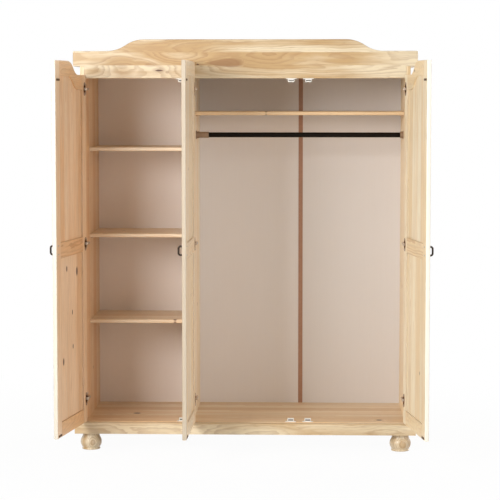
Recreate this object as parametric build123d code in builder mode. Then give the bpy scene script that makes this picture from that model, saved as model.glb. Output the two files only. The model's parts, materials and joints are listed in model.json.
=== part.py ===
from build123d import *

import math
import os
from collections import namedtuple

# A three-door pine wardrobe on bun feet, drawn with its doors standing open.
# Millimetres. X runs to the right, Y to the back and Z up from the floor.

# Carcass
carcass_width = 1428
carcass_depth = 560
board = 18
side_height = 1602
floor_rise = 53
back_sheet = 3
back_rebate = 12
rebate_width = 8
rebate_slack = 0.5
strip_width = 19.5
strip_skin = 1.2
strip_web = 2

# Plinth and feet
plinth_height = 50
plinth_projection = 24
overhang = 31
plinth_round = 8
foot_height = 76
foot_neck = 73
foot_collar = 8
foot_shoulder = 85
foot_shoulder_level = 49
foot_belly = 93
foot_belly_level = 35
foot_base = 80
foot_bead = 7
foot_bead_round = 2
foot_groove = 2.5
foot_inset = 65
foot_block = 90
foot_dowel = 12
foot_dowel_length = 26
dowel_slack = 0.2

# Cornice
cornice_skirt = 52
cornice_lip = 66
cornice_rise = 50
crown_half = 436
ogee_run = 162
cornice_round = 4
cornice_edge = 3

# Shelves, pins and clothes rail
shelf_board = 16.5
shelf_round = 5
shelf_depth = 370
shelf_back_gap = 8
shelf_slack = 0.5
first_shelf_rise = 429
shelf_pitch = 383
hat_shelf_depth = 340
hat_shelf_drop = 144
pin_diameter = 5
pin_grip = 9
pin_bearing = 10
pin_setback = 40
pin_slack = 0.1
rail_diameter = 22
rail_wall = 1.5
rail_drop = 88
rail_setback = 272
socket_rim = 4
socket_flange = 38
socket_plate = 3
socket_length = 14
socket_slack = 0.2

# Door leaves
door_board = 18
door_gap = 3
door_clearance = 3.5
door_reveal = 4
door_foot_gap = 2.5
door_drop = 104
door_rise = 57
stile_width = 62
top_rail_width = 64
mid_rail_width = 66
bottom_rail_width = 62
mid_rail_level = 910
edge_round = 4
tongue = 6
groove_depth = 9
groove_slack = 1
opening_bevel = 4
bevel_slope = 45
field_margin = 42
field_height = 5
field_slope = 60
side_door_angle = 98.5
middle_door_angle = 91

# Concealed hinges
pivot_inset = 10
pivot_depth = 9.5
hinge_foot = 102
hinge_head = 60
cup_diameter = 35
cup_inset = 21
cup_depth = 14
cup_wall = 1
cup_slack = 0.15
cup_flange_height = 58
cup_flange_width = 24
cup_flange_skin = 1.2
hinge_pin = 2.5
hinge_pin_slack = 0.25
eye_wall = 1.5
arm_skin = 2.5
arm_height = 11
arm_throw = 16
arm_length = 58
plate_height = 50
plate_width = 18
plate_skin = 2.5
plate_setback = 36
pedestal_length = 32
pedestal_height = 12

# Magnet catches, strikes and handles
catch_inset = 36
catch_flange_width = 46
catch_flange_skin = 2.5
catch_body_width = 28
catch_body_height = 13.5
catch_depth = 15
catch_setback = 0.5
magnet_width = 22
magnet_height = 5
magnet_depth = 9
strike_width = 46
strike_height = 9
strike_skin = 1.5
strike_gap = 0.3
handle_pitch = 36
handle_bar = 8
handle_reach = 20
handle_bend = 9
handle_inset = 31
handle_level = 914
handle_foot = 14
handle_foot_skin = 2

# Levels and planes worked out from the sizes above
half = carcass_width / 2
inner = half - board
plinth_half = half + overhang
plinth_top = foot_height + plinth_height
floor_top = foot_height + floor_rise
floor_under = floor_top - board
side_top = foot_height + side_height
skirt_bottom = side_top - cornice_skirt
lip_top = side_top + cornice_lip
crown_top = lip_top + cornice_rise

door_width = (carcass_width - 2 * door_reveal - 2 * door_gap) / 3
door_bottom = plinth_top + door_foot_gap
door_low = lip_top - door_drop
door_high = door_low + door_rise
meeting = (door_width + door_gap) / 2
partition_left = -meeting - board / 2
partition_right = -meeting + board / 2
ogee_start = half - door_reveal - crown_half - ogee_run

# The doors reach forward as far as the carcass reaches back, so the origin is mid-way
pivot_offset = door_clearance + pivot_depth
door_swing = door_width - pivot_inset
door_reach = pivot_offset + door_swing * math.sin(math.radians(middle_door_angle))
front = (door_reach - carcass_depth) / 2
rear = front + carcass_depth
back_face = rear - back_rebate
pivot_y = front - pivot_offset

hat_shelf_top = skirt_bottom - hat_shelf_drop
rail_level = hat_shelf_top - shelf_board - rail_drop
rail_y = front + rail_setback
hinge_levels = (door_bottom + hinge_foot, mid_rail_level, door_low - hinge_head)

# One row for each leaf: hand is 1 where it hangs on its left edge and -1 on its right
Leaf = namedtuple("Leaf", "name hand pivot_x face_x angle shaped")
leaves = (
    Leaf("left_door", 1, -half + door_reveal + pivot_inset, -inner, side_door_angle, True),
    Leaf("middle_door", 1, -door_width / 2 + pivot_inset, partition_right, middle_door_angle, False),
    Leaf("right_door", -1, half - door_reveal - pivot_inset, inner, side_door_angle, True),
)

os.makedirs("parts", exist_ok=True)


def save(part, name):
    """Label one finished piece and write it to its own file."""
    part.label = name
    export_step(part, f"parts/{name}.step")


def span(low, high):
    """Centre and length of the stretch from low to high."""
    return (low + high) / 2, abs(high - low)


def slab(x_ends, y_ends, z_ends, mode=Mode.ADD):
    """A rectangular board given by its ends along X, Y and Z."""
    x, width = span(*x_ends)
    y, depth = span(*y_ends)
    z, height = span(*z_ends)
    with Locations((x, y, z)):
        Box(width, depth, height, mode=mode)


def plain_board(name, x_ends, y_ends, z_ends):
    """A board with nothing cut into it."""
    with BuildPart() as plank:
        slab(x_ends, y_ends, z_ends)
    save(plank.part, name)


def facing_x(x, hand):
    """Upright plane at x whose normal points to hand * X, with local x along hand * Y and y up."""
    return Plane(origin=(x, 0, 0), x_dir=(0, hand, 0), z_dir=(hand, 0, 0))


# Shelf pins: where each row of them goes into an upright board
Pins = namedtuple("Pins", "face_x hand level shelf_front shelf_back")
shelf_back = back_face - shelf_back_gap
shelf_front = shelf_back - shelf_depth
hat_shelf_front = shelf_back - hat_shelf_depth
shelf_tops = [floor_top + first_shelf_rise + step * shelf_pitch for step in range(3)]
left_bay = (-inner + shelf_slack, partition_left - shelf_slack)
right_bay = (partition_right + shelf_slack, inner - shelf_slack)
pin_rows = []
for shelf_top in shelf_tops:
    pin_level = shelf_top - shelf_board - pin_diameter / 2
    pin_rows.append(Pins(-inner, 1, pin_level, shelf_front, shelf_back))
    pin_rows.append(Pins(partition_left, -1, pin_level, shelf_front, shelf_back))
hat_pin_level = hat_shelf_top - shelf_board - pin_diameter / 2
pin_rows.append(Pins(partition_right, 1, hat_pin_level, hat_shelf_front, shelf_back))
pin_rows.append(Pins(inner, -1, hat_pin_level, hat_shelf_front, shelf_back))


def pin_discs(row, radius):
    """The two circles of one row of pins, drawn on the face that they go into."""
    with BuildSketch(facing_x(row.face_x, row.hand)) as discs:
        with Locations(
            (row.hand * (row.shelf_front + pin_setback), row.level),
            (row.hand * (row.shelf_back - pin_setback), row.level),
        ):
            Circle(radius)
    return discs.sketch


def pin_holes(faces):
    """Blind holes for every row of pins in the faces of one board."""
    for row in pin_rows:
        if row.face_x in faces:
            discs = pin_discs(row, pin_diameter / 2 + pin_slack)
            extrude(discs, amount=-pin_grip - pin_slack, mode=Mode.SUBTRACT)


# Side panels, rebated at the back for the back sheets
for name, hand in (("left_side_panel", -1), ("right_side_panel", 1)):
    with BuildPart() as side:
        slab((hand * inner, hand * half), (front, rear), (foot_height, side_top))
        rebate_ends = (hand * inner, hand * (inner + rebate_width))
        slab(rebate_ends, (back_face, rear), (floor_under, side_top), mode=Mode.SUBTRACT)
        pin_holes((hand * inner,))
    save(side.part, name)

# Partition, notched over the skirt of the cornice board
with BuildPart() as partition:
    slab((partition_left, partition_right), (front, back_face), (floor_top, side_top))
    notch_ends = (skirt_bottom, side_top)
    slab((partition_left, partition_right), (front, front + board), notch_ends, mode=Mode.SUBTRACT)
    pin_holes((partition_left, partition_right))
save(partition.part, "centre_partition")

plain_board("bottom_panel", (-inner, inner), (front, back_face), (floor_under, floor_top))
plain_board("top_panel", (-plinth_half, plinth_half), (front + board, rear), (side_top, side_top + board))


def ogee(start, end, low, high):
    """Two equal arcs that leave start and reach end level, at the heights low and high."""
    middle = ((start + end) / 2, (low + high) / 2)
    heading = (math.copysign(1, end - start), 0)
    first = TangentArc((start, low), middle, tangent=heading)
    TangentArc(middle, (end, high), tangent=first % 1)


# Cornice board: its lip lies on the sides, its skirt fits between them
with BuildPart() as cornice:
    with BuildSketch(Plane.XZ.offset(-front)):
        with BuildLine():
            ogee_end = crown_half + ogee_run
            Polyline((-inner, side_top), (-plinth_half, side_top), (-plinth_half, lip_top))
            Line((-plinth_half, lip_top), (-ogee_end, lip_top))
            ogee(-ogee_end, -crown_half, lip_top, crown_top)
            Line((-crown_half, crown_top), (crown_half, crown_top))
            ogee(crown_half, ogee_end, crown_top, lip_top)
            Line((ogee_end, lip_top), (plinth_half, lip_top))
            Polyline((plinth_half, lip_top), (plinth_half, side_top), (inner, side_top))
            Polyline((inner, side_top), (inner, skirt_bottom), (-inner, skirt_bottom), (-inner, side_top))
        make_face()
    extrude(amount=-board)
    lip_corners = cornice.edges().filter_by(Axis.Y).group_by(Axis.X)
    fillet(lip_corners[0] + lip_corners[-1], cornice_round)
    fillet(cornice.faces().sort_by(Axis.Y)[0].edges(), cornice_edge)
save(cornice.part, "cornice_board")

# Plinth
with BuildPart() as plinth_front:
    slab((-plinth_half, plinth_half), (front - plinth_projection, front), (foot_height, plinth_top))
    nose = plinth_front.edges().filter_by(Axis.X).group_by(Axis.Y)[0].sort_by(Axis.Z)[-1]
    fillet(nose, plinth_round)
save(plinth_front.part, "plinth_front_rail")

for name, hand in (("plinth_left_rail", -1), ("plinth_right_rail", 1)):
    with BuildPart() as plinth_side:
        slab((hand * half, hand * plinth_half), (front, rear), (foot_height, plinth_top))
        upper_edges = plinth_side.edges().filter_by(Axis.Y).group_by(Axis.Z)[-1].sort_by(Axis.X)
        fillet(upper_edges[0 if hand < 0 else -1], plinth_round)
    save(plinth_side.part, name)

plain_board("plinth_back_rail", (-inner, inner), (back_face - board, back_face), (foot_height, floor_under))

# Turned feet: a bead and a groove at the base, a belly, a hollow up to the collar, and a
# dowel into a corner block
foot_x = plinth_half - foot_inset
foot_rows = (
    ("front", front - plinth_projection + foot_inset, (front, front + foot_block)),
    ("rear", rear - foot_inset, (back_face - board - foot_block, back_face - board)),
)
dowel_top = foot_height + foot_dowel_length

with BuildPart() as foot_blocks:
    for row, foot_y, block_ends in foot_rows:
        for hand in (-1, 1):
            slab((hand * (inner - foot_block), hand * inner), block_ends, (foot_height, floor_under))
            with Locations((hand * foot_x, foot_y, foot_height + foot_dowel_length / 2)):
                bore = foot_dowel / 2 + dowel_slack
                Cylinder(bore, foot_dowel_length + 2 * dowel_slack, mode=Mode.SUBTRACT)
save(foot_blocks.part, "foot_blocks")

for row, foot_y, block_ends in foot_rows:
    for side_name, hand in (("left", -1), ("right", 1)):
        with BuildPart() as foot:
            with BuildSketch(Plane((hand * foot_x, foot_y, 0), x_dir=(1, 0, 0), z_dir=(0, -1, 0))):
                with BuildLine():
                    waist = foot_base / 2 - foot_bead_round
                    groove_top = (waist, foot_bead + foot_groove)
                    shoulder = (foot_shoulder / 2, foot_shoulder_level)
                    collar_low = (foot_neck / 2, foot_height - foot_collar)
                    Line((0, 0), (waist, 0))
                    ThreePointArc((waist, 0), (foot_base / 2, foot_bead / 2), (waist, foot_bead))
                    Line((waist, foot_bead), groove_top)
                    ThreePointArc(groove_top, (foot_belly / 2, foot_belly_level), shoulder)
                    TangentArc(collar_low, shoulder, tangent=(0, -1))
                    Line(collar_low, (foot_neck / 2, foot_height))
                    Line((foot_neck / 2, foot_height), (foot_dowel / 2, foot_height))
                    Line((foot_dowel / 2, foot_height), (foot_dowel / 2, dowel_top))
                    Line((foot_dowel / 2, dowel_top), (0, dowel_top))
                    Line((0, dowel_top), (0, 0))
                make_face()
            revolve(axis=Axis((hand * foot_x, foot_y, 0), (0, 0, 1)))
        save(foot.part, f"{row}_{side_name}_foot")

# Back sheets and the strip that joins the two on the right
sheet_y = (back_face, back_face + back_sheet)
sheet_z = (floor_under, side_top)
sheet_end = inner + rebate_width - rebate_slack
plain_board("back_panel_left", (-sheet_end, -meeting - rebate_slack), sheet_y, sheet_z)
plain_board("back_panel_middle", (-meeting + rebate_slack, meeting - strip_web / 2), sheet_y, sheet_z)
plain_board("back_panel_right", (meeting + strip_web / 2, sheet_end), sheet_y, sheet_z)

with BuildPart() as strip:
    strip_z = (floor_top, side_top)
    web_x = (meeting - strip_web / 2, meeting + strip_web / 2)
    flange_x = (meeting - strip_width / 2, meeting + strip_width / 2)
    slab(web_x, sheet_y, strip_z)
    slab(flange_x, (back_face - strip_skin, back_face), strip_z)
    slab(flange_x, (sheet_y[1], sheet_y[1] + strip_skin), strip_z)
save(strip.part, "back_joining_strip")

# Shelves on pins, each rounded along its front edge
shelf_rows = (
    ("lower_shelf", left_bay, shelf_front, shelf_tops[0]),
    ("middle_shelf", left_bay, shelf_front, shelf_tops[1]),
    ("upper_shelf", left_bay, shelf_front, shelf_tops[2]),
    ("hat_shelf", right_bay, hat_shelf_front, hat_shelf_top),
)
for name, bay, front_edge, top in shelf_rows:
    with BuildPart() as shelf:
        slab(bay, (front_edge, shelf_back), (top - shelf_board, top))
        fillet(shelf.edges().filter_by(Axis.X).group_by(Axis.Y)[0], shelf_round)
    save(shelf.part, name)

with BuildPart() as pins:
    for row in pin_rows:
        discs = pin_discs(row, pin_diameter / 2)
        extrude(discs, amount=-pin_grip)
        extrude(discs, amount=pin_bearing)
save(pins.part, "shelf_pins")

# Clothes rail in two sockets
rail_ends = (partition_right + socket_plate, inner - socket_plate)
with BuildPart() as rail:
    with BuildSketch(facing_x(rail_ends[0], 1)):
        with Locations((rail_y, rail_level)):
            Circle(rail_diameter / 2)
            Circle(rail_diameter / 2 - rail_wall, mode=Mode.SUBTRACT)
    extrude(amount=rail_ends[1] - rail_ends[0])
save(rail.part, "clothes_rail")

with BuildPart() as sockets:
    for face_x, hand in ((partition_right, 1), (inner, -1)):
        with BuildSketch(facing_x(face_x, hand)):
            with Locations((hand * rail_y, rail_level)):
                Circle(socket_flange / 2)
        extrude(amount=socket_plate)
        with BuildSketch(facing_x(face_x + hand * socket_plate, hand)):
            with Locations((hand * rail_y, rail_level)):
                Circle(rail_diameter / 2 + socket_slack + socket_rim)
                Circle(rail_diameter / 2 + socket_slack, mode=Mode.SUBTRACT)
        extrude(amount=socket_length - socket_plate)
save(sockets.part, "rail_sockets")

# Magnet catches under the cornice skirt and on the floor, one pair for each leaf
free_edges = ((-meeting - door_gap / 2, -1), (meeting - door_gap / 2, -1), (meeting + door_gap / 2, 1))
catch_xs = [edge + hand * catch_inset for edge, hand in free_edges]
catch_y = (front + catch_setback, front + catch_setback + catch_depth)
magnet_face = front - door_clearance + strike_skin + strike_gap
magnet_y = (magnet_face, front + catch_setback + magnet_depth)
catch_reach = catch_flange_skin + catch_body_height / 2
catch_seats = ((skirt_bottom, -1), (floor_top, 1))

with BuildPart() as catches:
    for seat, up in catch_seats:
        for catch_x in catch_xs:
            flange_top = seat + up * catch_flange_skin
            body_top = flange_top + up * catch_body_height
            flange_ends = (catch_x - catch_flange_width / 2, catch_x + catch_flange_width / 2)
            body_ends = (catch_x - catch_body_width / 2, catch_x + catch_body_width / 2)
            slot_ends = (catch_x - magnet_width / 2, catch_x + magnet_width / 2)
            level = seat + up * catch_reach
            slab(flange_ends, catch_y, (seat, flange_top))
            slab(body_ends, catch_y, (flange_top, body_top))
            slot_z = (level - magnet_height / 2, level + magnet_height / 2)
            slab(slot_ends, (catch_y[0], magnet_y[1]), slot_z, mode=Mode.SUBTRACT)
save(catches.part, "magnet_catches")

with BuildPart() as magnets:
    for seat, up in catch_seats:
        for catch_x in catch_xs:
            level = seat + up * catch_reach
            slot_ends = (catch_x - magnet_width / 2, catch_x + magnet_width / 2)
            slab(slot_ends, magnet_y, (level - magnet_height / 2, level + magnet_height / 2))
save(magnets.part, "catch_magnets")


# Hinge plates on the uprights, and arms from them to the pins in the cups
def hinge_rows():
    """Every hinge as its leaf and its level."""
    return [(leaf, level) for leaf in leaves for level in hinge_levels]


with BuildPart() as plates:
    for leaf, level in hinge_rows():
        plate_y = front + plate_setback
        with BuildSketch(facing_x(leaf.face_x, leaf.hand)):
            with Locations((leaf.hand * plate_y, level)):
                SlotOverall(plate_height, plate_width, rotation=90)
        extrude(amount=plate_skin)
        strap_face = leaf.pivot_x + leaf.hand * (arm_throw - arm_skin / 2)
        pedestal_y = (plate_y - pedestal_length / 2, plate_y + pedestal_length / 2)
        pedestal_z = (level - pedestal_height / 2, level + pedestal_height / 2)
        slab((leaf.face_x, strap_face), pedestal_y, pedestal_z)
save(plates.part, "hinge_plates")

with BuildPart() as arms:
    for leaf, level in hinge_rows():
        strap_end = pivot_offset + arm_length
        with BuildSketch(Plane((leaf.pivot_x, pivot_y, level - arm_height / 2))):
            Circle(hinge_pin / 2 + hinge_pin_slack + eye_wall)
            with Locations((leaf.hand * arm_throw / 2, 0)):
                Rectangle(arm_throw, arm_skin)
            with Locations((leaf.hand * arm_throw, strap_end / 2)):
                SlotOverall(strap_end + arm_skin, arm_skin, rotation=90)
            Circle(hinge_pin / 2 + hinge_pin_slack, mode=Mode.SUBTRACT)
        extrude(amount=arm_height)
save(arms.part, "hinge_arms")


# Door leaves, each drawn on planes that turn with it about its hinge pins
def turn(leaf):
    """Directions of one leaf as it stands: along it to the right, and out of its show face."""
    angle = math.radians(leaf.angle)
    along = Vector(math.cos(angle), -leaf.hand * math.sin(angle), 0)
    outward = Vector(-leaf.hand * math.sin(angle), -math.cos(angle), 0)
    return along, outward


def face_plane(leaf, depth):
    """Upright plane at a depth in front of the pins: local x along the leaf, y up, normal outward."""
    along, outward = turn(leaf)
    origin = Vector(leaf.pivot_x, pivot_y, 0) + outward * depth
    return Plane(origin=origin, x_dir=along, z_dir=outward)


def section_plane(leaf, level):
    """Level plane through the pins: local x along the leaf and y towards the wardrobe."""
    along, outward = turn(leaf)
    return Plane(origin=(leaf.pivot_x, pivot_y, level), x_dir=along, z_dir=(0, 0, 1))


def across(leaf, distance):
    """Local x of a point at a distance from the hinge edge of the leaf."""
    return leaf.hand * (distance - pivot_inset)


def leaf_top(leaf, low):
    """A line across the whole leaf that follows its top: level, or rising through the ogee."""
    if not leaf.shaped:
        Line((across(leaf, 0), low + door_rise), (across(leaf, door_width), low + door_rise))
        return
    ogee_end = ogee_start + ogee_run
    Line((across(leaf, 0), low), (across(leaf, ogee_start), low))
    ogee(across(leaf, ogee_start), across(leaf, ogee_end), low, low + door_rise)
    Line((across(leaf, ogee_end), low + door_rise), (across(leaf, door_width), low + door_rise))


def bar(leaf, start, end, low, high, mode=Mode.ADD):
    """Rectangle on a leaf plane between two distances from its hinge edge and two levels."""
    x, width = span(across(leaf, start), across(leaf, end))
    y, height = span(low, high)
    with Locations((x, y)):
        Rectangle(width, height, mode=mode)


def region_under(leaf, depth, ends, low, base):
    """Sketch between two distances from the hinge edge, from a level base up to a line like the top."""
    high_end = (across(leaf, door_width), low + door_rise)
    low_end = (across(leaf, 0), low if leaf.shaped else low + door_rise)
    with BuildSketch(face_plane(leaf, depth)) as region:
        with BuildLine():
            leaf_top(leaf, low)
            Polyline(high_end, (high_end[0], base), (low_end[0], base), low_end)
        make_face()
        bar(leaf, *ends, base, low + door_rise, mode=Mode.INTERSECT)
    return region.sketch


inner_face = -pivot_depth
outer_face = door_board - pivot_depth
groove_back = (inner_face + outer_face - tongue) / 2
tenon = groove_depth - groove_slack
opening_start = stile_width
opening_end = door_width - stile_width
mid_rail_z = (mid_rail_level - mid_rail_width / 2, mid_rail_level + mid_rail_width / 2)
bottom_rail_z = (door_bottom, door_bottom + bottom_rail_width)
top_rail_low = door_low - top_rail_width


whole = (0, door_width)
opening = (opening_start, opening_end)
tenoned = (opening_start - tenon, opening_end + tenon)


def blank(leaf):
    """The whole leaf as one board with rounded edges, to which its frame is cut."""
    with BuildPart() as outline:
        extrude(region_under(leaf, inner_face, whole, door_low, door_bottom), amount=door_board)
        faces = outline.faces().filter_by(face_plane(leaf, inner_face))
        fillet(faces.edges(), edge_round)
    return outline.part


def bevels(leaf):
    """The slanted cuts round both openings of a leaf, on its show face."""
    depth = outer_face - opening_bevel
    upper = region_under(leaf, depth, opening, top_rail_low, mid_rail_z[1])
    with BuildPart() as cuts:
        extrude(upper, amount=opening_bevel, taper=-bevel_slope)
        with BuildSketch(face_plane(leaf, depth)):
            bar(leaf, *opening, bottom_rail_z[1], mid_rail_z[0])
        extrude(amount=opening_bevel, taper=-bevel_slope)
    return cuts.part


def stile(leaf, edge, inside, bored):
    """Upright of a leaf, from its outer edge to the grooved edge inside."""
    heading = math.copysign(1, inside - edge)
    with BuildPart() as upright:
        with BuildSketch(section_plane(leaf, door_bottom)):
            x, width = span(across(leaf, edge), across(leaf, inside))
            with Locations((x, (pivot_depth - outer_face) / 2)):
                Rectangle(width, door_board)
            x, width = span(across(leaf, inside), across(leaf, inside - heading * groove_depth))
            with Locations((x, (pivot_depth - outer_face) / 2)):
                Rectangle(width, tongue, mode=Mode.SUBTRACT)
        extrude(amount=door_high - door_bottom)
        if bored:
            with BuildSketch(face_plane(leaf, inner_face)):
                with Locations(*[(across(leaf, cup_inset), level) for level in hinge_levels]):
                    Circle(cup_diameter / 2 + cup_slack)
            extrude(amount=cup_depth + cup_slack, mode=Mode.SUBTRACT)
        add(blank(leaf), mode=Mode.INTERSECT)
        add(bevels(leaf), mode=Mode.SUBTRACT)
    return upright.part


def straight_rail(leaf, ends, grooved_edges):
    """Level rail with a tenon at each end and a groove along each edge that holds a panel."""
    with BuildPart() as rail_board:
        with BuildSketch(face_plane(leaf, inner_face)):
            bar(leaf, *opening, *ends)
        extrude(amount=door_board)
        with BuildSketch(face_plane(leaf, groove_back)):
            bar(leaf, *tenoned, *ends)
        extrude(amount=tongue)
        with BuildSketch(face_plane(leaf, groove_back)):
            for edge, inward in grooved_edges:
                bar(leaf, *tenoned, edge, edge + inward * groove_depth)
        extrude(amount=tongue, mode=Mode.SUBTRACT)
        add(blank(leaf), mode=Mode.INTERSECT)
        add(bevels(leaf), mode=Mode.SUBTRACT)
    return rail_board.part


def top_rail(leaf):
    """Rail that follows the top of the leaf, above and below, with tenons and one groove."""
    groove_top = top_rail_low + groove_depth
    below = mid_rail_level
    with BuildPart() as rail_board:
        extrude(region_under(leaf, inner_face, opening, door_low, below), amount=door_board)
        extrude(region_under(leaf, groove_back, tenoned, door_low, below), amount=tongue)
        under = region_under(leaf, inner_face, whole, top_rail_low, below)
        extrude(under, amount=door_board, mode=Mode.SUBTRACT)
        groove = region_under(leaf, groove_back, whole, groove_top, below)
        extrude(groove, amount=tongue, mode=Mode.SUBTRACT)
        add(blank(leaf), mode=Mode.INTERSECT)
        add(bevels(leaf), mode=Mode.SUBTRACT)
    return rail_board.part


def panel(leaf, low, high, follows_top):
    """Panel with a tongue all round and a raised field on its show face."""
    with BuildPart() as infill:
        for margin, depth in ((-tenon, groove_back), (field_margin, groove_back + tongue)):
            ends = (opening_start + margin, opening_end - margin)
            if follows_top:
                outline = region_under(leaf, depth, ends, high - margin, low + margin)
            else:
                with BuildSketch(face_plane(leaf, depth)) as rectangle:
                    bar(leaf, *ends, low + margin, high - margin)
                outline = rectangle.sketch
            if margin < 0:
                extrude(outline, amount=tongue)
            else:
                extrude(outline, amount=field_height, taper=field_slope)
    return infill.part


def handle(leaf):
    """Bow handle on two round feet."""
    along, outward = turn(leaf)
    place = Vector(leaf.pivot_x, pivot_y, handle_level)
    place += along * across(leaf, door_width - handle_inset) + outward * outer_face
    side_on = Plane(origin=place, x_dir=outward, z_dir=outward.cross(Vector(0, 0, 1)))
    crown = handle_reach - handle_bar / 2
    ends = handle_pitch / 2
    with BuildPart() as bow:
        with BuildLine(side_on):
            FilletPolyline((0, -ends), (crown, -ends), (crown, ends), (0, ends), radius=handle_bend)
        with BuildSketch(Plane(origin=place - Vector(0, 0, ends), z_dir=outward)):
            Circle(handle_bar / 2)
        sweep()
        with BuildSketch(Plane(origin=place, x_dir=along, z_dir=outward)):
            with Locations((0, -ends), (0, ends)):
                Circle(handle_foot / 2)
        extrude(amount=handle_foot_skin)
    return bow.part


def hinge_cups(leaf):
    """Cups let into the hinge stile, each with its flange and its pin."""
    centres = [(across(leaf, cup_inset), level) for level in hinge_levels]
    pin_offset = cup_inset - pivot_inset + hinge_pin / 2
    pin_chord = math.sqrt((cup_diameter / 2 - cup_wall / 2) ** 2 - pin_offset**2)
    with BuildPart() as cups:
        with BuildSketch(face_plane(leaf, inner_face)):
            with Locations(*centres):
                Circle(cup_diameter / 2)
        extrude(amount=cup_depth)
        with BuildSketch(face_plane(leaf, inner_face)):
            with Locations(*centres):
                SlotOverall(cup_flange_height, cup_flange_width, rotation=90)
                Circle(cup_diameter / 2)
        extrude(amount=-cup_flange_skin)
        with BuildSketch(face_plane(leaf, inner_face - cup_flange_skin)):
            with Locations(*centres):
                Circle(cup_diameter / 2 - cup_wall)
        extrude(amount=cup_flange_skin + cup_depth - cup_wall, mode=Mode.SUBTRACT)
        with BuildSketch(*[section_plane(leaf, level - pin_chord) for level in hinge_levels]):
            Circle(hinge_pin / 2)
        extrude(amount=2 * pin_chord)
    return cups.part


def strikes(leaf):
    """Steel plates that the magnets hold, near the free corners of the leaf."""
    levels = [seat + up * catch_reach for seat, up in catch_seats]
    with BuildPart() as steel:
        with BuildSketch(face_plane(leaf, inner_face)):
            with Locations(*[(across(leaf, door_width - catch_inset), level) for level in levels]):
                Rectangle(strike_width, strike_height)
        extrude(amount=-strike_skin)
    return steel.part


for leaf in leaves:
    save(stile(leaf, 0, opening_start, True), f"{leaf.name}_hinge_stile")
    save(stile(leaf, door_width, opening_end, False), f"{leaf.name}_free_stile")
    save(top_rail(leaf), f"{leaf.name}_top_rail")
    mid_grooves = ((mid_rail_z[0], 1), (mid_rail_z[1], -1))
    save(straight_rail(leaf, mid_rail_z, mid_grooves), f"{leaf.name}_mid_rail")
    save(straight_rail(leaf, bottom_rail_z, ((bottom_rail_z[1], -1),)), f"{leaf.name}_bottom_rail")
    save(panel(leaf, mid_rail_z[1], top_rail_low, True), f"{leaf.name}_upper_panel")
    save(panel(leaf, bottom_rail_z[1], mid_rail_z[0], False), f"{leaf.name}_lower_panel")
    save(handle(leaf), f"{leaf.name}_handle")
    save(hinge_cups(leaf), f"{leaf.name}_hinge_cups")
    save(strikes(leaf), f"{leaf.name}_strike_plates")
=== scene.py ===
# %% [markdown]
# # A three-door pine wardrobe
# The wardrobe comes from the workshop as sixty separate solids, each at its real size and place.
# This lesson dresses them: a camera and a soft studio first, then a finish for every board, sheet
# and fitting, and at the end the rail's sleeve and the small screws and nails that hold it together.
# Nothing here moves a solid, so whatever is added is measured from the solids themselves.

import json
import math
import random
from collections import namedtuple

import bpy
from mathutils import Matrix, Vector


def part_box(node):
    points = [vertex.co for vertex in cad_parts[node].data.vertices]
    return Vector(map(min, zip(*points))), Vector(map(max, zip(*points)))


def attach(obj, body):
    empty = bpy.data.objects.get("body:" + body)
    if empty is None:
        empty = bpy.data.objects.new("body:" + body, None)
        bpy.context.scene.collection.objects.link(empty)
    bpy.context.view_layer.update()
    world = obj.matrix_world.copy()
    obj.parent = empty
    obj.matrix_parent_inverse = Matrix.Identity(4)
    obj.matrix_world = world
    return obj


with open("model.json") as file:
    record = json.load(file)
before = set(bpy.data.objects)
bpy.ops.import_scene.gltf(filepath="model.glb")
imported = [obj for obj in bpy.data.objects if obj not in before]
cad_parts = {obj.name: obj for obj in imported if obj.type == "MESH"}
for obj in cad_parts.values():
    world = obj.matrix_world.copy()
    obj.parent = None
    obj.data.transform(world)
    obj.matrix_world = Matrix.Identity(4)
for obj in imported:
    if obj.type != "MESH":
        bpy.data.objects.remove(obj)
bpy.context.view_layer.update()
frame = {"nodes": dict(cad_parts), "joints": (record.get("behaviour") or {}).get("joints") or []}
nodes = frame["nodes"]

# %% [markdown]
# ## The three doors
# A door's boards stand at an angle, but their grain runs along the door and not along the room.
# Each joint of the frame tells where the hinge pins are and how far the door is open at rest:
# turning a point back by that angle about the pins gives its place on the closed door, where X runs
# along the door, Z up, and the inside faces +Y. Finishes and screws are laid out in that flat frame.

# %% Work out the flat frame of each door
doors = {}
for joint in frame["joints"]:
    pin = Vector((*joint["pos_m"][:2], 0))
    open_angle = math.radians(joint["range_deg"][0]) * joint["axis"][2]
    doors[joint["child"]] = Matrix.Rotation(open_angle, 4, "Z") @ Matrix.Translation(-pin)
    print(joint["child"], "stands open by", round(math.degrees(open_angle), 1), "degrees")

# %% [markdown]
# ## The camera
# The picture was taken from far off with a long lens, a little to the right of the middle and just
# above head height, looking slightly down. A lens this long keeps the sides nearly parallel.

# %% Set up the camera
camera_place = Vector((0.308, -8.466, 1.544))
camera_pitch = math.radians(4.485)
camera_turn = math.radians(1.944)
camera_lens = 140.07
bpy.ops.object.select_all(action="DESELECT")
bpy.ops.object.camera_add(
    location=camera_place,
    rotation=(math.pi / 2 - camera_pitch, 0, camera_turn),
)
camera = bpy.context.object
camera.data.lens = camera_lens
camera.data.sensor_width = 36
camera.data.clip_end = 100
bpy.context.scene.camera = camera
bpy.context.scene.view_settings.view_transform = "Standard"
print("camera at", tuple(camera.location), "lens", camera_lens)

# %% [markdown]
# ## Writing a finish
# A finish is a small program of shader nodes, and sums are easier to read as sums. The class Field
# stands for one socket's value: adding or multiplying Fields adds Math nodes. The class Finish is the
# material itself, and its one method node makes every other node from its type, its settings and
# what goes into its sockets.

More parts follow.
